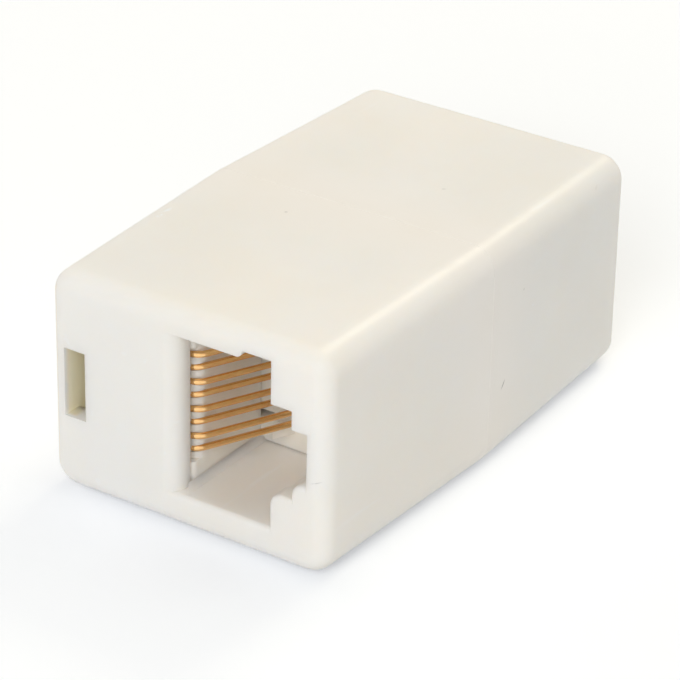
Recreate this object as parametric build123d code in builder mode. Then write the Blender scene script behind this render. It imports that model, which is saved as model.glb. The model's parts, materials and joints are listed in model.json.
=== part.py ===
from build123d import *
import math
import os

# Inline jack coupler. X runs across the body, Y along it and Z up from the bottom of the seam.
# The front jack looks towards -Y. The rear end is the front turned half round about Z.

# Housing outside
length = 37.9
seam_width = 23.38
seam_height = 16.7
side_draft = 0.58
flat_draft = 0.24
long_edge_radius = 1.8
end_edge_radius = 1.25
seam_bevel = 0.03

# Jack opening, from the jack's axis: x grows towards the latch side, v upwards
jack_axis_z = 8.7
mouth_left = -0.64
mouth_right = 6.78
mouth_half = 5.91
latch_step_right = 8.4
latch_step_half = 3.33
lever_slot_right = 9.59
lever_slot_half = 1.97
ledge_left = 6.66
ledge_half = 3.25
upper_ledge_left = 8.34
key_left = 4.5
key_top = 6.43
ledge_corner_radius = 0.9
key_lip_radius = 0.45
lip_lead_in = 1.15
floor_lead_in = 0.4
ledge_lead_in = 0.35

# Socket behind the front wall
front_wall = 1.5
bore_left = -2.79
socket_depth = 9.35
guide_strip_right = 0.0
guide_strip_width = 0.47
guide_strip_height = 0.47
guide_strip_start = 0.37
guide_strip_slant = 0.68

# Hollow blank side, with the slot that its catch is cored through
blank_wall = 1.25
blank_flat_wall = 1.6
partition = 1.25
slot_inner = 8.15
slot_bottom = 5.8
slot_top = 10.9
catch_face_depth = 7.65
catch_length = 2.7
catch_ramp = 2.2

# Snap arm that reaches into the other half
arm_inner = 6.83
arm_outer = 8.05
arm_bottom = 6.1
arm_top = 10.6
arm_bar_depth = 9.6
arm_bar_length = 3.0
hook_reach = 9.75
hook_land = 0.6
hook_nose = 2.5

# Tongue round the seam on the jack side, and the rebate for it on the blank side
tongue_outer = 0.7
tongue_inner = 1.3
tongue_length = 0.9
tongue_start = 1.2
rebate_play = 0.1
rebate_inner = 1.65

# Contact wires
contact_count = 8
contact_pitch = 1.016
wire_diameter = 0.45
wire_sides = 6
wire_run_angle = math.radians(26)
wire_bend_radius = 1.05
wire_raise = 0.12
wire_bend_depth = 3.33
wire_leg_x = -2.47
wire_free_depth = 9.0
wire_cross_depth = 11.55
wire_cross_radius = 1.5

# Contact insert
insert_half = 5.85
insert_left = -2.59
insert_right = 6.68
insert_back_wall = 1.5
plate_left = -2.5
plate_right = -0.5
cheek_depth = 1.6
cheek_radius = 0.5
nose_depth = 2.05
nose_radius = 0.95
nose_half = 4.25
groove_width = 0.5
comb_depth = 7.8
comb_half = 4.6
tooth_set_back = 0.35
wire_slot_set_back = 0.8
window_half = 4.2
window_left = -1.4
rail_right = 2.45

half_length = length / 2
half_seam = seam_width / 2
half_end = half_seam - side_draft
slot_outer = half_end - blank_wall
wire_across_flats = wire_diameter * math.cos(math.pi / wire_sides)
jack_plane = Plane(origin=(0, -half_length, jack_axis_z), x_dir=(1, 0, 0), z_dir=(0, -1, 0))
insert_bottom = Plane.XY.offset(jack_axis_z - insert_half)


def at_depth(depth):
    """Y of a point that lies this deep behind the front face."""
    return depth - half_length


def run_point(depth, bend_radius=wire_bend_radius, set_back=0):
    """Point on a wire's straight run, a tangent to its nose bend, or so far behind it."""
    from_leg = bend_radius + (bend_radius - set_back) / math.cos(wire_run_angle)
    x = wire_leg_x + from_leg + (depth - wire_bend_depth) * math.tan(wire_run_angle)
    return (x, at_depth(depth))


def wire_bend(number):
    """Nose bend radius of a contact wire: every second wire stands a little further out."""
    return wire_bend_radius + wire_raise * (1 - number % 2)


def wire_corners(number):
    """Corners of a wire's route in plan: free end, nose bend and leg, then the same for the other jack."""
    slope = math.tan(wire_run_angle)
    corner_depth = wire_bend_depth - wire_bend(number) * (1 + 1 / math.cos(wire_run_angle)) / slope
    front = [
        run_point(wire_free_depth, wire_bend(number)),
        (wire_leg_x, at_depth(corner_depth)),
        (wire_leg_x, at_depth(wire_cross_depth)),
    ]
    return front + [(-x, -y) for x, y in reversed(front)]


def wire_radii(number):
    """Bend radii at the inner corners of a wire's route."""
    return [wire_bend(number), wire_cross_radius, wire_cross_radius, wire_bend(number)]


def wire_height(number):
    """Z of a contact wire, counted from the bottom."""
    return jack_axis_z + (number - (contact_count + 1) / 2) * contact_pitch


# One housing half: its outside is the plan outline crossed with the side outline
with BuildPart() as front_housing:
    with BuildSketch(Plane.XY):
        with BuildLine():
            Polyline(
                (-half_seam, 0),
                (-half_end, -half_length),
                (half_end, -half_length),
                (half_seam, 0),
                close=True,
            )
        make_face()
    extrude(amount=seam_height)
    with BuildSketch(Plane.YZ):
        with BuildLine():
            Polyline(
                (0, 0),
                (-half_length, flat_draft),
                (-half_length, seam_height - flat_draft),
                (0, seam_height),
                close=True,
            )
        make_face()
    extrude(amount=seam_width, both=True, mode=Mode.INTERSECT)
    fillet(front_housing.edges().group_by(Axis.Y)[1], long_edge_radius)
    fillet(front_housing.faces().sort_by(Axis.Y)[0].edges(), end_edge_radius)
    chamfer(front_housing.faces().sort_by(Axis.Y)[-1].edges(), seam_bevel)

    # Stepped opening through the front wall: rounded lower ledges, and a key notch at the top only
    with BuildSketch(jack_plane):
        with BuildLine():
            FilletPolyline(
                (mouth_left, -mouth_half),
                (ledge_left, -mouth_half),
                (ledge_left, -ledge_half),
                (upper_ledge_left, -ledge_half),
                (upper_ledge_left, -lever_slot_half),
                (lever_slot_right, -lever_slot_half),
                (lever_slot_right, lever_slot_half),
                (latch_step_right, lever_slot_half),
                (latch_step_right, latch_step_half),
                (mouth_right, latch_step_half),
                (mouth_right, key_top),
                (key_left, key_top),
                (key_left, mouth_half),
                (mouth_left, mouth_half),
                radius=[0, 0, ledge_corner_radius, 0, ledge_corner_radius]
                + [0, 0, 0, 0, 0, 0, 0, key_lip_radius, 0],
                close=True,
            )
        make_face()
    extrude(amount=-front_wall, mode=Mode.SUBTRACT)

    # Lead-in round the contact-side lip, then the floor's edge, then the lower ledges
    rim = front_housing.faces().sort_by(Axis.Y)[0].inner_wires()[0]
    fillet(rim.edges().sort_by(Axis.X)[0], lip_lead_in)
    rim = front_housing.faces().sort_by(Axis.Y)[0].inner_wires()[0]
    fillet(rim.edges().sort_by(Axis.Z)[0], floor_lead_in)
    rim = front_housing.faces().sort_by(Axis.Y)[0].inner_wires()[0]
    ledges = rim.edges().filter_by_position(Axis.X, ledge_left, lever_slot_right, (True, False))
    fillet(
        ledges.filter_by_position(
            Axis.Z, jack_axis_z - mouth_half, jack_axis_z - lever_slot_half, (False, True)
        ),
        ledge_lead_in,
    )

    # Socket bore with its latch chamber and key groove, open to the seam
    with BuildSketch(jack_plane.offset(-front_wall)):
        with BuildLine():
            FilletPolyline(
                (bore_left, -mouth_half),
                (mouth_right, -mouth_half),
                (mouth_right, -latch_step_half),
                (lever_slot_right, -latch_step_half),
                (lever_slot_right, latch_step_half),
                (mouth_right, latch_step_half),
                (mouth_right, key_top),
                (key_left, key_top),
                (key_left, mouth_half),
                (bore_left, mouth_half),
                radius=[0, 0, ledge_corner_radius, 0, 0, 0, 0, 0, 0, 0],
                close=True,
            )
        make_face()
    extrude(amount=front_wall - half_length, mode=Mode.SUBTRACT)

    # Bevelled guide strips that hold the insert's plate and stop its back wall, slanted off beside the lip
    with BuildSketch(jack_plane.offset(-guide_strip_start)):
        with BuildLine():
            Polyline(
                (guide_strip_right, -mouth_half),
                (guide_strip_right - guide_strip_width, -mouth_half + guide_strip_height),
                (guide_strip_right - guide_strip_width, -mouth_half),
                close=True,
            )
        make_face()
        mirror(about=Plane.XZ)
    extrude(amount=guide_strip_start - socket_depth)
    with BuildSketch(Plane.XY.offset(jack_axis_z - mouth_half)):
        with BuildLine():
            Polyline(
                (guide_strip_right, at_depth(guide_strip_start)),
                (guide_strip_right - guide_strip_width, at_depth(guide_strip_start)),
                (guide_strip_right - guide_strip_width, at_depth(guide_strip_start + guide_strip_slant)),
                close=True,
            )
        make_face()
    extrude(amount=2 * mouth_half, mode=Mode.SUBTRACT)

    # Hollow blank side, following the side wall's draft
    with BuildSketch(Plane.XY.offset(blank_flat_wall)):
        with BuildLine():
            Polyline(
                (blank_wall - half_seam, 0),
                (-slot_outer, at_depth(front_wall)),
                (bore_left - partition, at_depth(front_wall)),
                (bore_left - partition, 0),
                close=True,
            )
        make_face()
    extrude(amount=seam_height - 2 * blank_flat_wall, mode=Mode.SUBTRACT)

    # Slot in the end wall, and the ramped catch in line with it
    with BuildSketch(Plane.XZ.offset(half_length)):
        with Locations((-(slot_inner + slot_outer) / 2, (slot_bottom + slot_top) / 2)):
            Rectangle(slot_outer - slot_inner, slot_top - slot_bottom)
    extrude(amount=-front_wall, mode=Mode.SUBTRACT)
    with BuildSketch(Plane.XY.offset(slot_bottom)):
        with BuildLine():
            Polyline(
                (-slot_outer - blank_wall / 2, at_depth(catch_face_depth)),
                (-slot_inner, at_depth(catch_face_depth)),
                (-slot_inner, at_depth(catch_face_depth + catch_length)),
                (-slot_outer - blank_wall / 2, at_depth(catch_face_depth + catch_length + catch_ramp)),
                close=True,
            )
        make_face()
    extrude(amount=slot_top - slot_bottom)

    # Snap arm on a bar across the latch chamber, its hook seated behind the other half's catch
    with BuildSketch(Plane.XY.offset(jack_axis_z - latch_step_half)):
        with Locations((mouth_right, at_depth(arm_bar_depth))):
            Rectangle(arm_outer - mouth_right, arm_bar_length, align=Align.MIN)
    extrude(amount=2 * latch_step_half)
    with BuildSketch(Plane.XY.offset(arm_bottom)):
        with BuildLine():
            Polyline(
                (arm_inner, at_depth(arm_bar_depth)),
                (arm_outer, at_depth(arm_bar_depth)),
                (arm_outer, -at_depth(catch_face_depth)),
                (hook_reach, -at_depth(catch_face_depth)),
                (hook_reach, hook_land - at_depth(catch_face_depth)),
                (arm_outer, hook_nose - at_depth(catch_face_depth)),
                (arm_inner, hook_nose - at_depth(catch_face_depth)),
                close=True,
            )
        make_face()
    extrude(amount=arm_top - arm_bottom)

    # Tongue on the jack side of the seam, and the rebate that takes the other half's tongue
    with BuildSketch(Plane.XZ):
        with Locations((0, seam_height / 2)):
            RectangleRounded(
                seam_width - 2 * tongue_outer,
                seam_height - 2 * tongue_outer,
                long_edge_radius - tongue_outer,
            )
            RectangleRounded(
                seam_width - 2 * tongue_inner,
                seam_height - 2 * tongue_inner,
                long_edge_radius - tongue_inner,
                mode=Mode.SUBTRACT,
            )
        with Locations((tongue_start, 0)):
            Rectangle(half_seam, seam_height, align=Align.MIN, mode=Mode.INTERSECT)
    extrude(amount=-tongue_length)
    with BuildSketch(Plane.XZ):
        with Locations((0, seam_height / 2)):
            RectangleRounded(
                seam_width - 2 * (tongue_outer - rebate_play),
                seam_height - 2 * (tongue_outer - rebate_play),
                long_edge_radius - tongue_outer + rebate_play,
            )
            RectangleRounded(
                seam_width - 2 * rebate_inner,
                seam_height - 2 * rebate_inner,
                long_edge_radius - rebate_inner,
                mode=Mode.SUBTRACT,
            )
        with Locations((rebate_play - tongue_start, 0)):
            Rectangle(half_seam, seam_height, align=(Align.MAX, Align.MIN), mode=Mode.INTERSECT)
    extrude(amount=tongue_length + rebate_play, mode=Mode.SUBTRACT)

# The other half is the same moulding turned half round
with BuildPart() as rear_housing:
    add(front_housing.part, rotation=(0, 0, 180))

# Contact insert: plate with its end cheeks, socket back wall, nose, wire comb and rails to the seam
with BuildPart() as front_contact_insert:
    with BuildSketch(insert_bottom):
        with BuildLine():
            FilletPolyline(
                (plate_left, at_depth(cheek_depth)),
                (plate_left, at_depth(socket_depth)),
                (insert_left, at_depth(socket_depth)),
                (insert_left, at_depth(socket_depth + insert_back_wall)),
                (insert_right, at_depth(socket_depth + insert_back_wall)),
                (insert_right, at_depth(socket_depth)),
                (plate_right, at_depth(socket_depth)),
                (plate_right, at_depth(cheek_depth)),
                radius=[cheek_radius, 0, 0, 0, 0, 0, 0, cheek_radius],
                close=True,
            )
        make_face()
    extrude(amount=2 * insert_half)

    # Between the cheeks the plate is cut back to a rounder nose, and the wall behind it has a window
    with BuildSketch(Plane.XY.offset(jack_axis_z - nose_half)):
        with Locations((plate_left, at_depth(cheek_depth))):
            Rectangle(plate_right - plate_left, wire_bend_depth - cheek_depth, align=Align.MIN)
    extrude(amount=2 * nose_half, mode=Mode.SUBTRACT)
    with BuildSketch(Plane.XY.offset(jack_axis_z - nose_half)):
        with Locations((plate_left, at_depth(nose_depth))):
            RectangleRounded(
                plate_right - plate_left, 2 * (wire_bend_depth - nose_depth), nose_radius, align=Align.MIN
            )
    extrude(amount=2 * nose_half)
    comb_left = run_point(comb_depth, set_back=tooth_set_back)
    with BuildSketch(Plane.XY.offset(jack_axis_z - window_half)):
        with Locations((window_left, at_depth(socket_depth))):
            Rectangle(comb_left[0] - window_left, insert_back_wall, align=Align.MIN)
    extrude(amount=2 * window_half, mode=Mode.SUBTRACT)

    # Ramp behind the free ends of the wires
    with BuildSketch(Plane.XY.offset(jack_axis_z - comb_half)):
        with BuildLine():
            Polyline(
                comb_left,
                run_point(socket_depth, set_back=tooth_set_back),
                (comb_left[0], at_depth(socket_depth)),
                close=True,
            )
        make_face()
    extrude(amount=2 * comb_half)

    # Rails above and below the wires, back to the seam
    with BuildSketch(insert_bottom):
        with Locations((insert_left, at_depth(socket_depth))):
            Rectangle(rail_right - insert_left, half_length - socket_depth, align=Align.MIN)
    extrude(amount=insert_half - comb_half)
    with BuildSketch(Plane.XY.offset(jack_axis_z + comb_half)):
        with Locations((insert_left, at_depth(socket_depth))):
            Rectangle(rail_right - insert_left, half_length - socket_depth, align=Align.MIN)
    extrude(amount=insert_half - comb_half)

    # A groove round the nose and a slot in the comb for each wire
    for number in range(1, contact_count + 1):
        with BuildSketch(Plane.XY.offset(wire_height(number) - groove_width / 2)):
            with BuildLine(mode=Mode.PRIVATE) as groove_line:
                FilletPolyline(*wire_corners(number), radius=wire_radii(number))
            trace(groove_line.line, wire_across_flats)
            with BuildLine():
                Polyline(
                    run_point(comb_depth),
                    run_point(socket_depth),
                    run_point(socket_depth, set_back=wire_slot_set_back),
                    run_point(comb_depth, set_back=wire_slot_set_back),
                    close=True,
                )
            make_face()
        extrude(amount=groove_width, mode=Mode.SUBTRACT)

with BuildPart() as rear_contact_insert:
    add(front_contact_insert.part, rotation=(0, 0, 180))

os.makedirs("parts", exist_ok=True)
front_housing.part.label = "front_housing"
export_step(front_housing.part, "parts/front_housing.step")
rear_housing.part.label = "rear_housing"
export_step(rear_housing.part, "parts/rear_housing.step")
front_contact_insert.part.label = "front_contact_insert"
export_step(front_contact_insert.part, "parts/front_contact_insert.step")
rear_contact_insert.part.label = "rear_contact_insert"
export_step(rear_contact_insert.part, "parts/rear_contact_insert.step")

# One wire for each pin
for number in range(1, contact_count + 1):
    with BuildPart() as contact_wire:
        with BuildLine(Plane.XY.offset(wire_height(number))) as route:
            FilletPolyline(*wire_corners(number), radius=wire_radii(number))
        with BuildSketch(route.line ^ 0):
            RegularPolygon(wire_diameter / 2, wire_sides, rotation=180 / wire_sides)
        sweep()
    contact_wire.part.label = f"contact_wire_{number}"
    export_step(contact_wire.part, f"parts/contact_wire_{number}.step")
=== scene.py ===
"""Inline jack coupler: finishes, round contact wires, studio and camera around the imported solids."""

import json
import math

import bpy
import numpy as np
from mathutils import Matrix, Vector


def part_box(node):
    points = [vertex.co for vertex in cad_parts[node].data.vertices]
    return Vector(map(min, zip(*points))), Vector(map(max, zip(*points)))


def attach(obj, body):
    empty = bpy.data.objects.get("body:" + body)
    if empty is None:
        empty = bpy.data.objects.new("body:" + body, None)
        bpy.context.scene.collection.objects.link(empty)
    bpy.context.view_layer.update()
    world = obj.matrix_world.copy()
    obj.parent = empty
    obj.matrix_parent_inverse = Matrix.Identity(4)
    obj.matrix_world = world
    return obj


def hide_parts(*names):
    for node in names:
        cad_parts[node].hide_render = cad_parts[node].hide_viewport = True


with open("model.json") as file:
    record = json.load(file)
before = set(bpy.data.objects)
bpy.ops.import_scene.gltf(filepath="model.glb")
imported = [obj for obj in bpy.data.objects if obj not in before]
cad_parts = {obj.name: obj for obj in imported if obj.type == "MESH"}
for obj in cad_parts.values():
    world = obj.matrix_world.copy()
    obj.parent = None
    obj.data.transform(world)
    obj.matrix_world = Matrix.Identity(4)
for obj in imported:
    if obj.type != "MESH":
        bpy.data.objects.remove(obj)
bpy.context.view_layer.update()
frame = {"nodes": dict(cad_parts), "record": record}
MM = 0.001

# Camera, as fitted to the photograph: angles in degrees, lengths in millimetres, image in pixels
IMAGE_SIZE = 680
SENSOR = 36.0
VIEW_AZIMUTH = 33.342
VIEW_ELEVATION = 27.995
VIEW_ROLL = 1.191
VIEW_DISTANCE = 232.893
FOCAL_PIXELS = 3310.82
SIDE_OFFSET = 0.325
RISE_OFFSET = -5.614

# Contact wires in millimetres, as the solids have them; depths count from the front face
HALF_LENGTH = 18.95
WIRE_COUNT = 8
WIRE_RADIUS = 0.225
WIRE_RUN_ANGLE = math.radians(26)
WIRE_BEND_RADIUS = 1.05
WIRE_RAISE = 0.12
WIRE_BEND_DEPTH = 3.33
WIRE_LEG_X = -2.47
WIRE_FREE_DEPTH = 9.0
WIRE_CROSS_DEPTH = 11.55
WIRE_CROSS_RADIUS = 1.5
WIRE_SIDES = 24
ARC_STEPS = 20
TIP_STEPS = 7

# Webs in the windows of the insert back walls, in millimetres; heights count from the jack's axis
JACK_AXIS_HEIGHT = 8.7
WEB_LEFT = -1.55
WEB_RIGHT = 1.69
WEB_BOTTOM = -3.7
WEB_TOP = 4.35
WEB_FRONT_DEPTH = 9.5
WEB_THICKNESS = 0.9
WEB_EDGE_RADIUS = 0.12
WEB_OUTLINE_POWER = 0.15
WEB_EDGE_STEPS = 10
WEB_SIDES = 64

# Colours of the ivory housing, the white insert and the gold wire, and a painted warm glow on the inside of
# the thin blank wall
IVORY = (0.93, 0.895, 0.85)
IVORY_WARM = (0.92, 0.875, 0.81)
IVORY_SCUFF = (0.94, 0.92, 0.89)
# Painted glow: this peach stands in for light shining through the thin blank wall. It is not the plastic's
# own colour.
PAINTED_THIN_WALL_GLOW = (0.98, 0.80, 0.58)
IVORY_DIRT = (0.47, 0.45, 0.42)
IVORY_NICK = (0.98, 0.98, 0.98)
INSERT_WHITE = (0.94, 0.89, 0.82)
INSERT_WARM = (0.92, 0.855, 0.76)
GOLD_PALE = (0.98, 0.63, 0.29)
GOLD_DEEP = (0.92, 0.56, 0.24)

# Marks on the housing in millimetres and radians: centre, half size, turn, strength
DARK_MARKS = [
    ((11.63, 1.86, 5.75), (0.3, 0.09, 0.48), (-0.67, 0, 0), 0.9),
    ((11.59, -3.37, 9.05), (0.3, 0.06, 0.40), (-1.12, 0, 0), 0.35),
    ((11.56, 4.21, 12.07), (0.3, 0.11, 0.11), (0, 0, 0), 0.7),
    ((11.45, 14.6, 15.6), (0.6, 0.5, 0.16), (0.4, 0, 0), 0.3),
    ((10.53, -18.95, 7.45), (0.8, 0.3, 0.05), (0, -0.33, 0), 0.5),
    ((-2.97, -3.27, 16.66), (0.16, 0.16, 0.3), (0, 0, 0), 0.4),
    ((3.65, 6.14, 16.62), (0.3, 0.14, 0.3), (0, 0, 0.6), 0.3),
]
PALE_MARKS = [
    ((-9.68, -8.2, 16.6), (0.22, 1.2, 0.4), (0, 0, 0), 1.0),
    ((11.52, 5.63, 10.24), (0.3, 0.11, 0.11), (0, 0, 0), 0.9),
]
MARK_FADE = (0.4, 1)

# Light inside the plastics: share that goes in, reach in millimetres, and that reach for red, green and blue
HOUSING_LIGHT_SHARE = 0.6
HOUSING_REACH = 2.0
THIN_WALL_REACH = 5.0
HOUSING_COLOUR_REACH = (1.0, 0.88, 0.76)
INSERT_LIGHT_SHARE = 0.5
INSERT_REACH = 1.2
INSERT_COLOUR_REACH = (1.0, 0.85, 0.7)
PLASTIC_IOR = 1.5

# Where the light share fades in beside the seam, and the bounds of the thin blank wall, in millimetres
SEAM_FADE = (1.5, 6.0)
THIN_WALL_INNER = (9.0, 9.4)
THIN_WALL_OUTER = (10.6, 10.9)
THIN_WALL_END = (18.5, 18.8)
THIN_WALL_TOP = (15.0, 15.3)
THIN_WALL_BOTTOM = (1.4, 1.7)

# Ranges of noise that are spread over a finish, and roughness of each finish
NOISE_MIDDLE = (0.35, 0.65)
NOISE_WIDE = (0.3, 0.7)
SCRATCH_BAND = (0.70, 0.74)
SCRATCH_SHARE = (0, 0.5)
RAGGED_BAND = (0.42, 0.52)
NONE_TO_ALL = (0, 1)
ALL_TO_NONE = (1, 0)
HOUSING_ROUGHNESS = (0.32, 0.44)
INSERT_ROUGHNESS = (0.42, 0.56)
WIRE_ROUGHNESS = (0.12, 0.26)

# Sockets of a Mix node that are for colours
MIX_FIRST = 6
MIX_SECOND = 7
MIX_RESULT = 2

# Studio, in metres
FLOOR_HALF = 1.0
FLOOR_WHITE = (0.865, 0.88, 0.905, 1)
FLOOR_GLOW = 0.265
FLOOR_GLOW_WHITE = (0.9, 0.94, 1, 1)
WORLD_LIGHT = 0.30
WARM_LIGHT = (1, 0.92, 0.72)
COOL_LIGHT = (0.96, 0.98, 1)
FILL_LIGHT = (1, 0.90, 0.78)
OVERHEAD_PLACE = (0.05, 0.20, 0.58)
FRONTAL_PLACE = (0.183, -0.532, 0.325)
LEFT_PLACE = (-0.58, 0.0, 0.16)
RIM_PLACE = (0.0, 0.480, 0.440)


def pose_of(right, up, back, place):
    """Matrix of a camera or lamp with these axes, which looks against back from its place."""
    pose = Matrix.Identity(4)
    for row in range(3):
        pose[row] = (right[row], up[row], back[row], place[row])
    return pose


def place_camera():
    """Camera whose right, up and back axes follow from azimuth, elevation and roll."""
    azimuth = math.radians(VIEW_AZIMUTH)
    elevation = math.radians(VIEW_ELEVATION)
    roll = math.radians(VIEW_ROLL)
    flat = math.cos(elevation)
    back = np.array([math.sin(azimuth) * flat, -math.cos(azimuth) * flat, math.sin(elevation)])
    right = np.array([math.cos(azimuth), math.sin(azimuth), 0.0])
    up = np.cross(back, right)
    turned_right = math.cos(roll) * right + math.sin(roll) * up
    turned_up = math.cos(roll) * up - math.sin(roll) * right
    eye = (VIEW_DISTANCE * back - SIDE_OFFSET * turned_right - RISE_OFFSET * turned_up) * MM
    data = bpy.data.cameras.new("studio_camera")
    data.sensor_width = SENSOR
    data.lens = FOCAL_PIXELS * SENSOR / IMAGE_SIZE
    camera = bpy.data.objects.new("studio_camera", data)
    camera.matrix_world = pose_of(turned_right, turned_up, back, eye)
    bpy.context.scene.collection.objects.link(camera)
    bpy.context.scene.camera = camera


def rounded_route(corners, radii):
    """Straight runs joined by arcs in plan. At an inner corner the arc starts and ends radius * tan(turn / 2)
    from the corner; its points are centre + radius * (cos, sin) of angles spread evenly over the turn."""
    pieces = [corners[:1]]
    for before, corner, after, radius in zip(corners[:-2], corners[1:-1], corners[2:], radii):
        into = (corner - before) / np.linalg.norm(corner - before)
        out = (after - corner) / np.linalg.norm(after - corner)
        turn = math.atan2(into[0] * out[1] - into[1] * out[0], into @ out)
        signed_radius = math.copysign(radius, turn)
        inward = signed_radius * np.array([-into[1], into[0]])
        start = corner - radius * math.tan(abs(turn) / 2) * into
        angles = np.linspace(0, turn, ARC_STEPS)[:, None]
        pieces.append(start + inward - np.cos(angles) * inward + np.sin(angles) * signed_radius * into)
    pieces.append(corners[-1:])
    return np.concatenate(pieces)


def with_round_tips(route, radius):
    """Route with extra points in its first and last radius of length, and the tube's radius at every point.
    A tip is half a ball: its radius is radius * sin(angle) at radius * (1 - cos(angle)) from the end."""
    angles = np.linspace(0, math.pi / 2, TIP_STEPS)[:, None]
    first = (route[1] - route[0]) / np.linalg.norm(route[1] - route[0])
    last = (route[-2] - route[-1]) / np.linalg.norm(route[-2] - route[-1])
    set_in = radius * (1 - np.cos(angles))
    points = np.concatenate([route[0] + set_in * first, route[1:-1], (route[-1] + set_in * last)[::-1]])
    tip = radius * np.sin(angles[:, 0])
    return points, np.concatenate([tip, np.full(len(route) - 2, radius), tip[::-1]])


def ring_mesh(name, rings, near_pole, far_pole):
    """Smooth closed mesh: quads between rings of equally many points, and a fan from each end ring to
    its pole. The points run round each ring so that the faces look outwards."""
    ring_count, sides = rings.shape[:2]
    here = np.arange(ring_count * sides).reshape(ring_count, sides)
    there = np.roll(here, -1, axis=1)
    quads = np.stack([here[:-1], there[:-1], there[1:], here[1:]], axis=-1).reshape(-1, 4)
    near_index = np.full(sides, ring_count * sides)
    near_fan = np.stack([near_index, there[0], here[0]], axis=-1)
    far_fan = np.stack([near_index + 1, here[-1], there[-1]], axis=-1)
    vertices = np.concatenate([rings.reshape(-1, 3), [near_pole, far_pole]])
    mesh = bpy.data.meshes.new(name)
    mesh.from_pydata(vertices.tolist(), [], quads.tolist() + near_fan.tolist() + far_fan.tolist())
    mesh.polygons.foreach_set("use_smooth", np.ones(len(mesh.polygons), bool))
    return mesh


def linked(name, mesh):
    """Object of this mesh at the origin."""
    piece = bpy.data.objects.new(name, mesh)
    bpy.context.scene.collection.objects.link(piece)
    return piece


def wire_tube(name, corners, radii, height):
    """Tube round a plan route: point + radius * (cos(angle) * sideways + sin(angle) * up), with round tips.
    Its UV map holds the length along the wire in millimetres and the share of the turn round it."""
    points, tube_radius = with_round_tips(rounded_route(corners, radii), WIRE_RADIUS)
    steps = np.gradient(points, axis=0)
    along = steps / np.linalg.norm(steps, axis=1)[:, None]
    sideways = np.stack([-along[:, 1], along[:, 0], np.zeros(len(along))], axis=1)
    spine = np.column_stack([points, np.full(len(points), height)])
    angles = np.linspace(0, 2 * math.pi, WIRE_SIDES, endpoint=False)[None, :, None]
    ring = np.cos(angles) * sideways[:, None, :] + np.sin(angles) * np.array([0, 0, 1.0])
    rings = spine[1:-1, None, :] + tube_radius[1:-1, None, None] * ring[1:-1]
    mesh = ring_mesh(name, rings * MM, spine[0] * MM, spine[-1] * MM)

    length = np.concatenate([[0], np.cumsum(np.linalg.norm(np.diff(points, axis=0), axis=1))])
    u = np.repeat(length[1:-1, None], WIRE_SIDES + 1, axis=1)
    v = np.repeat(np.arange(WIRE_SIDES + 1)[None, :] / WIRE_SIDES, len(rings), axis=0)
    grid = np.stack([u, v], axis=-1)
    quad_uv = np.stack([grid[:-1, :-1], grid[:-1, 1:], grid[1:, 1:], grid[1:, :-1]], axis=2).reshape(-1, 2)
    near_pole_uv = grid[0, :-1] * [0, 1]
    far_pole_uv = grid[-1, :-1] * [0, 1] + [length[-1], 0]
    near_uv = np.stack([near_pole_uv, grid[0, 1:], grid[0, :-1]], axis=1).reshape(-1, 2)
    far_uv = np.stack([far_pole_uv, grid[-1, :-1], grid[-1, 1:]], axis=1).reshape(-1, 2)
    layer = mesh.uv_layers.new(name="wire_length")
    layer.data.foreach_set("uv", np.concatenate([quad_uv, near_uv, far_uv]).ravel())
    return linked(name, mesh)


def contact_wire(number):
    """One wire, counted from the bottom: free end, straight run, nose bend, leg, then across to the other
    jack. Every second wire has a larger nose bend. The rear half of the route is the front half turned
    half round."""
    node = f"contact_wire_{number}"
    low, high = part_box(node)
    bend = WIRE_BEND_RADIUS + WIRE_RAISE * (1 - number % 2)
    slope = math.tan(WIRE_RUN_ANGLE)
    corner_depth = WIRE_BEND_DEPTH - bend * (1 + 1 / math.cos(WIRE_RUN_ANGLE)) / slope
    front = np.array([
        [WIRE_LEG_X + (WIRE_FREE_DEPTH - corner_depth) * slope, WIRE_FREE_DEPTH - HALF_LENGTH],
        [WIRE_LEG_X, corner_depth - HALF_LENGTH],
        [WIRE_LEG_X, WIRE_CROSS_DEPTH - HALF_LENGTH],
    ])
    corners = np.concatenate([front, -front[::-1]])
    radii = [bend, WIRE_CROSS_RADIUS, WIRE_CROSS_RADIUS, bend]
    wire = wire_tube(f"round_wire_{number}", corners, radii, (low.z + high.z) / 2 / MM)
    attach(wire, "root")
    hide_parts(node)
    return wire


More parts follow.
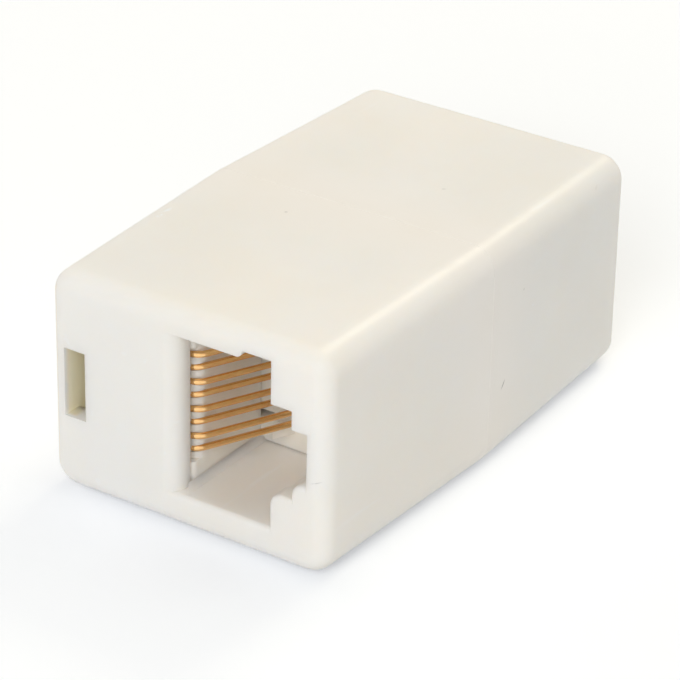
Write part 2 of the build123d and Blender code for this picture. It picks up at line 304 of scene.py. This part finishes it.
def window_web(name, end):
    """Web across the upper part of an insert's window. Its outline is a superellipse, half width times
    cos(angle) and half height times sin(angle), each to a small power with its sign kept, and it is carried
    through the thickness with rounded edges. End is 1 at the front jack, and -1 at the rear one, where the
    web is turned half round."""
    angles = np.linspace(2 * math.pi, 0, WEB_SIDES, endpoint=False)
    outline = np.stack([np.cos(angles), np.sin(angles)], axis=1)
    outline = np.sign(outline) * np.abs(outline) ** WEB_OUTLINE_POWER
    half = np.array([WEB_RIGHT - WEB_LEFT, WEB_TOP - WEB_BOTTOM]) / 2
    centre = np.array([WEB_RIGHT + WEB_LEFT, WEB_TOP + WEB_BOTTOM]) / 2
    turn = np.linspace(0, math.pi / 2, WEB_EDGE_STEPS)
    inset = WEB_EDGE_RADIUS * (1 - np.sin(turn))
    set_in = WEB_EDGE_RADIUS * (1 - np.cos(turn))
    insets = np.concatenate([inset, inset[::-1]])
    depths = WEB_FRONT_DEPTH + np.concatenate([set_in, WEB_THICKNESS - set_in[::-1]])
    flat = centre + outline[None] * (half - insets[:, None, None])
    deep = np.repeat(depths[:, None] - HALF_LENGTH, WEB_SIDES, axis=1)
    rings = np.stack([end * flat[..., 0], end * deep, JACK_AXIS_HEIGHT + flat[..., 1]], axis=-1)
    near_pole = rings[0].mean(axis=0)
    far_pole = rings[-1].mean(axis=0)
    web = linked(name, ring_mesh(name, rings * MM, near_pole * MM, far_pole * MM))
    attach(web, "root")
    return web


def metres(lengths):
    """Lengths in millimetres turned into metres."""
    return tuple(length * MM for length in lengths)


def new_material(name):
    """Material with a Principled finish, and its nodes and links."""
    material = bpy.data.materials.new(name)
    material.use_nodes = True
    tree = material.node_tree
    return material, tree.nodes, tree.links, tree.nodes["Principled BSDF"]


def noise(nodes, links, place, scale, detail, roughness=0.5):
    """Noise value over a place socket; scale is in features per unit of that place."""
    texture = nodes.new("ShaderNodeTexNoise")
    texture.inputs["Scale"].default_value = scale
    texture.inputs["Detail"].default_value = detail
    texture.inputs["Roughness"].default_value = roughness
    links.new(place, texture.inputs["Vector"])
    return texture.outputs["Fac"]


def remap(nodes, links, value, before, after):
    """Clamped straight-line map of a value from one pair of bounds to another."""
    node = nodes.new("ShaderNodeMapRange")
    for socket, number in zip(("From Min", "From Max", "To Min", "To Max"), (*before, *after)):
        node.inputs[socket].default_value = number
    links.new(value, node.inputs["Value"])
    return node.outputs["Result"]


def tint(nodes, links, factor, first, second):
    """Mix of two colours, each a socket or an RGB triple, by a factor socket."""
    node = nodes.new("ShaderNodeMix")
    node.data_type = "RGBA"
    links.new(factor, node.inputs["Factor"])
    for socket, colour in zip((MIX_FIRST, MIX_SECOND), (first, second)):
        if isinstance(colour, tuple):
            node.inputs[socket].default_value = (*colour, 1)
        else:
            links.new(colour, node.inputs[socket])
    return node.outputs[MIX_RESULT]


def bumped(nodes, links, height, distance, strength, normal=None):
    """Bump from a height socket, distance in millimetres, on top of an earlier normal."""
    node = nodes.new("ShaderNodeBump")
    node.inputs["Distance"].default_value = distance * MM
    node.inputs["Strength"].default_value = strength
    links.new(height, node.inputs["Height"])
    if normal is not None:
        links.new(normal, node.inputs["Normal"])
    return node.outputs["Normal"]


def stretched(nodes, links, place, scale, turn=(0, 0, 0)):
    """Place socket turned and scaled by a Mapping node."""
    node = nodes.new("ShaderNodeMapping")
    node.inputs["Rotation"].default_value = turn
    node.inputs["Scale"].default_value = scale
    links.new(place, node.inputs["Vector"])
    return node.outputs["Vector"]


def maths(nodes, links, operation, first, second=None):
    """Result of a Math node on one or two sockets."""
    node = nodes.new("ShaderNodeMath")
    node.operation = operation
    links.new(first, node.inputs[0])
    if second is not None:
        links.new(second, node.inputs[1])
    return node.outputs["Value"]


def light_share(nodes, links, y):
    """Share of light that goes into the plastic: none at the doubled walls of the seam, more away from it."""
    from_seam = maths(nodes, links, "ABSOLUTE", y)
    return remap(nodes, links, from_seam, metres(SEAM_FADE), (0, HOUSING_LIGHT_SHARE))


def thin_wall(nodes, links, x, y, z):
    """One on the inner face of each half's blank outer wall, at -X in front and at +X behind, else nought:
    the product of one clamped slope for each bound of that space."""
    blank_side = maths(nodes, links, "MULTIPLY", x, maths(nodes, links, "SIGN", y))
    from_seam = maths(nodes, links, "ABSOLUTE", y)
    inside = remap(nodes, links, blank_side, metres(THIN_WALL_INNER), NONE_TO_ALL)
    bounds = (
        (blank_side, THIN_WALL_OUTER, ALL_TO_NONE),
        (from_seam, THIN_WALL_END, ALL_TO_NONE),
        (z, THIN_WALL_TOP, ALL_TO_NONE),
        (z, THIN_WALL_BOTTOM, NONE_TO_ALL),
    )
    for value, edge, slope in bounds:
        inside = maths(nodes, links, "MULTIPLY", inside, remap(nodes, links, value, metres(edge), slope))
    return inside


def mark(nodes, links, place, centre, half_size, turn, strength):
    """Share of a mark, from its strength in the middle to nought at the ellipsoid of that centre and
    half size."""
    node = nodes.new("ShaderNodeMapping")
    node.vector_type = "TEXTURE"
    node.inputs["Location"].default_value = metres(centre)
    node.inputs["Rotation"].default_value = turn
    node.inputs["Scale"].default_value = metres(half_size)
    links.new(place, node.inputs["Vector"])
    length = nodes.new("ShaderNodeVectorMath")
    length.operation = "LENGTH"
    links.new(node.outputs["Vector"], length.inputs[0])
    return remap(nodes, links, length.outputs["Value"], MARK_FADE, (strength, 0))


def ivory_housing():
    """Satin ivory moulding: faint mottling, fine grain, a few marks and hairline scratches. The inner face of
    the thin blank wall has a painted warm glow, which stands in for light shining through it. Light goes into
    it."""
    material, nodes, links, finish = new_material("ivory_housing")
    place = nodes.new("ShaderNodeTexCoord").outputs["Object"]
    split = nodes.new("ShaderNodeSeparateXYZ")
    links.new(place, split.inputs["Vector"])
    x, y, z = split.outputs

    mottle = noise(nodes, links, place, scale=110, detail=3)
    colour = tint(nodes, links, remap(nodes, links, mottle, NOISE_MIDDLE, NONE_TO_ALL), IVORY, IVORY_WARM)
    drawn_out = stretched(nodes, links, place, scale=(900, 60, 900), turn=(0.5, 0.3, 0.8))
    lines = noise(nodes, links, drawn_out, scale=1, detail=2, roughness=0.6)
    colour = tint(nodes, links, remap(nodes, links, lines, SCRATCH_BAND, SCRATCH_SHARE), colour, IVORY_SCUFF)
    thin = thin_wall(nodes, links, x, y, z)
    # Painted warm glow on the inner face of the thin blank wall, standing in for light shining through it
    colour = tint(nodes, links, thin, colour, PAINTED_THIN_WALL_GLOW)
    ragged = remap(nodes, links, noise(nodes, links, place, scale=1700, detail=2), RAGGED_BAND, NONE_TO_ALL)
    for marks, shade in ((DARK_MARKS, IVORY_DIRT), (PALE_MARKS, IVORY_NICK)):
        for centre, half_size, turn, strength in marks:
            share = mark(nodes, links, place, centre, half_size, turn, strength)
            colour = tint(nodes, links, maths(nodes, links, "MULTIPLY", share, ragged), colour, shade)
    links.new(colour, finish.inputs["Base Color"])

    grain = noise(nodes, links, place, scale=1500, detail=3, roughness=0.6)
    links.new(remap(nodes, links, grain, NOISE_WIDE, HOUSING_ROUGHNESS), finish.inputs["Roughness"])
    waves = noise(nodes, links, place, scale=160, detail=2)
    normal = bumped(nodes, links, waves, distance=0.12, strength=0.25)
    normal = bumped(nodes, links, grain, distance=0.01, strength=0.35, normal=normal)
    links.new(normal, finish.inputs["Normal"])

    share = maths(nodes, links, "MAXIMUM", light_share(nodes, links, y), thin)
    links.new(share, finish.inputs["Subsurface Weight"])
    reach = remap(nodes, links, thin, NONE_TO_ALL, metres((HOUSING_REACH, THIN_WALL_REACH)))
    links.new(reach, finish.inputs["Subsurface Scale"])
    finish.inputs["Subsurface Radius"].default_value = HOUSING_COLOUR_REACH
    finish.inputs["IOR"].default_value = PLASTIC_IOR
    return material


def white_insert():
    """Matt white moulding: faint mottling and fine grain; a little light goes into it."""
    material, nodes, links, finish = new_material("white_insert")
    place = nodes.new("ShaderNodeTexCoord").outputs["Object"]
    mottle = noise(nodes, links, place, scale=260, detail=3)
    mottled = remap(nodes, links, mottle, NOISE_MIDDLE, NONE_TO_ALL)
    links.new(tint(nodes, links, mottled, INSERT_WHITE, INSERT_WARM), finish.inputs["Base Color"])
    grain = noise(nodes, links, place, scale=2500, detail=3, roughness=0.6)
    links.new(remap(nodes, links, grain, NOISE_WIDE, INSERT_ROUGHNESS), finish.inputs["Roughness"])
    links.new(bumped(nodes, links, grain, distance=0.01, strength=0.4), finish.inputs["Normal"])
    finish.inputs["Subsurface Weight"].default_value = INSERT_LIGHT_SHARE
    finish.inputs["Subsurface Radius"].default_value = INSERT_COLOUR_REACH
    finish.inputs["Subsurface Scale"].default_value = INSERT_REACH * MM
    finish.inputs["IOR"].default_value = PLASTIC_IOR
    return material


def gold_wire():
    """Gold plate on drawn wire: fine streaks along it, from the UV map, and slow changes of tone."""
    material, nodes, links, finish = new_material("gold_wire")
    uv = nodes.new("ShaderNodeUVMap").outputs["UV"]
    drawn_out = stretched(nodes, links, uv, scale=(0.5, 30, 1))
    streaks = noise(nodes, links, drawn_out, scale=1, detail=3, roughness=0.6)
    tone = noise(nodes, links, stretched(nodes, links, uv, scale=(0.7, 1.5, 1)), scale=1, detail=2)
    colour = tint(nodes, links, remap(nodes, links, tone, NOISE_MIDDLE, NONE_TO_ALL), GOLD_PALE, GOLD_DEEP)
    links.new(colour, finish.inputs["Base Color"])
    finish.inputs["Metallic"].default_value = 1.0
    links.new(remap(nodes, links, streaks, NOISE_WIDE, WIRE_ROUGHNESS), finish.inputs["Roughness"])
    links.new(bumped(nodes, links, streaks, distance=0.01, strength=0.3), finish.inputs["Normal"])
    return material


def seen_directly(nodes, links):
    """One for camera, glossy and transmission rays, nought for the others."""
    path = nodes.new("ShaderNodeLightPath")
    total = path.outputs["Is Camera Ray"]
    for name in ("Is Glossy Ray", "Is Transmission Ray"):
        total = maths(nodes, links, "MAXIMUM", total, path.outputs[name])
    return total


def studio_floor():
    """Square pale floor that keeps the shadow. A faint glow, only where it is seen directly, brings it up
    to white."""
    mesh = bpy.data.meshes.new("studio_floor")
    corners = FLOOR_HALF * np.array([[-1, -1, 0], [1, -1, 0], [1, 1, 0], [-1, 1, 0]], float)
    mesh.from_pydata(corners.tolist(), [], [(0, 1, 2, 3)])
    material, nodes, links, finish = new_material("studio_floor")
    finish.inputs["Base Color"].default_value = FLOOR_WHITE
    finish.inputs["Roughness"].default_value = 1.0
    finish.inputs["Specular IOR Level"].default_value = 0.0
    finish.inputs["Emission Color"].default_value = FLOOR_GLOW_WHITE
    glow = remap(nodes, links, seen_directly(nodes, links), NONE_TO_ALL, (0, FLOOR_GLOW))
    links.new(glow, finish.inputs["Emission Strength"])
    mesh.materials.append(material)
    linked("studio_floor", mesh)


def studio_world():
    """White all round where it is seen directly, and a dimmer even light on the object."""
    world = bpy.data.worlds.new("studio")
    bpy.context.scene.world = world
    world.use_nodes = True
    nodes = world.node_tree.nodes
    links = world.node_tree.links
    background = nodes["Background"]
    background.inputs["Color"].default_value = (1, 1, 1, 1)
    strength = remap(nodes, links, seen_directly(nodes, links), NONE_TO_ALL, (WORLD_LIGHT, 1))
    links.new(strength, background.inputs["Strength"])


def soft_lamp(name, place, size, power, colour, mirrored=True):
    """Square soft lamp that faces the middle of the object; reflections show it only if it is mirrored."""
    data = bpy.data.lights.new(name, "AREA")
    data.size = size
    data.energy = power
    data.color = colour
    lamp = bpy.data.objects.new(name, data)
    lamp.visible_glossy = mirrored
    back = np.array(place) / np.linalg.norm(place)
    right = np.cross((0, 0, 1), back)
    right /= np.linalg.norm(right)
    lamp.matrix_world = pose_of(right, np.cross(back, right), back, place)
    bpy.context.scene.collection.objects.link(lamp)


wires = [contact_wire(number) for number in range(1, WIRE_COUNT + 1)]
webs = [window_web("front_window_web", 1), window_web("rear_window_web", -1)]
finishes = {
    "housing_plastic": ivory_housing(),
    "insert_plastic": white_insert(),
    "contact_metal": gold_wire(),
}
slot_of = {part["node"]: part["material_slot"] for part in frame["record"]["subparts"]}
for name, node in frame["nodes"].items():
    for slot in node.material_slots:
        slot.material = finishes[slot_of[name]]
for wire in wires:
    wire.data.materials.append(finishes["contact_metal"])
for web in webs:
    web.data.materials.append(finishes["insert_plastic"])

studio_floor()
studio_world()
soft_lamp("overhead", OVERHEAD_PLACE, size=0.60, power=1.20, colour=WARM_LIGHT)
soft_lamp("frontal", FRONTAL_PLACE, size=0.45, power=1.93, colour=COOL_LIGHT, mirrored=False)
soft_lamp("sparkle", FRONTAL_PLACE, size=0.12, power=0.27, colour=COOL_LIGHT)
soft_lamp("left_fill", LEFT_PLACE, size=0.40, power=0.56, colour=FILL_LIGHT, mirrored=False)
soft_lamp("rim", RIM_PLACE, size=0.20, power=0.65, colour=WARM_LIGHT)
bpy.context.scene.view_settings.view_transform = "Standard"
place_camera()
